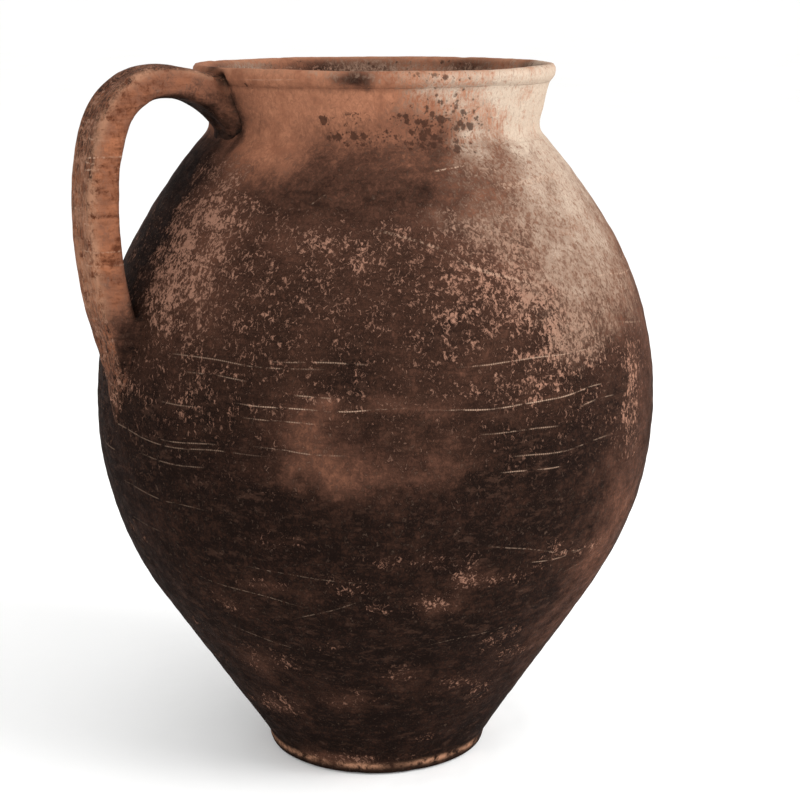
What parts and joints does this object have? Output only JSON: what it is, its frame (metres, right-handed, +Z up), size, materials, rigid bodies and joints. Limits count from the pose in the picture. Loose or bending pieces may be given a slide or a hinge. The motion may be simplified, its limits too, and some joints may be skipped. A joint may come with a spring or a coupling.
{
  "type": "flower vase",
  "caption": "Wide-bellied earthenware jar used as a flower vase, with a short flared neck, a rolled rim, a strap handle on one side and a small flat foot.",
  "frame": {"origin": "centre of the flat underside, on the jar's axis", "axes": "+Z up along the jar's axis, through the mouth; the handle is towards -X and lies in the XZ plane; +Y is the jar's left side seen from the handle's end"},
  "size_m": [0.2957, 0.281, 0.3517],
  "materials": {
    "bare_clay": "unglazed fired clay, matt and slightly gritty",
    "foot_clay": "dark patina, worn back to pale clay along the standing edge",
    "dark_wall": "near-black brown patina over clay, satin, with worn patches and thin scratches",
    "worn_wall": "dark patina worn to a reddish speckle and a beige bloom, satin",
    "neck_clay": "pink-brown clay wash with downward streaks, satin",
    "handle_clay": "mottled orange-brown clay with a dark outer face and pale worn corners"
  },
  "bodies": {
    "root": {"base_disc": "bare_clay", "foot_ring": "foot_clay", "floor_coil": "bare_clay", "lower_wall": "dark_wall", "upper_wall": "worn_wall", "neck": "neck_clay", "rim_band": "neck_clay", "handle": "handle_clay", "handle_top_joint": "handle_clay", "handle_bottom_joint": "handle_clay"}
  },
  "joints": []
}
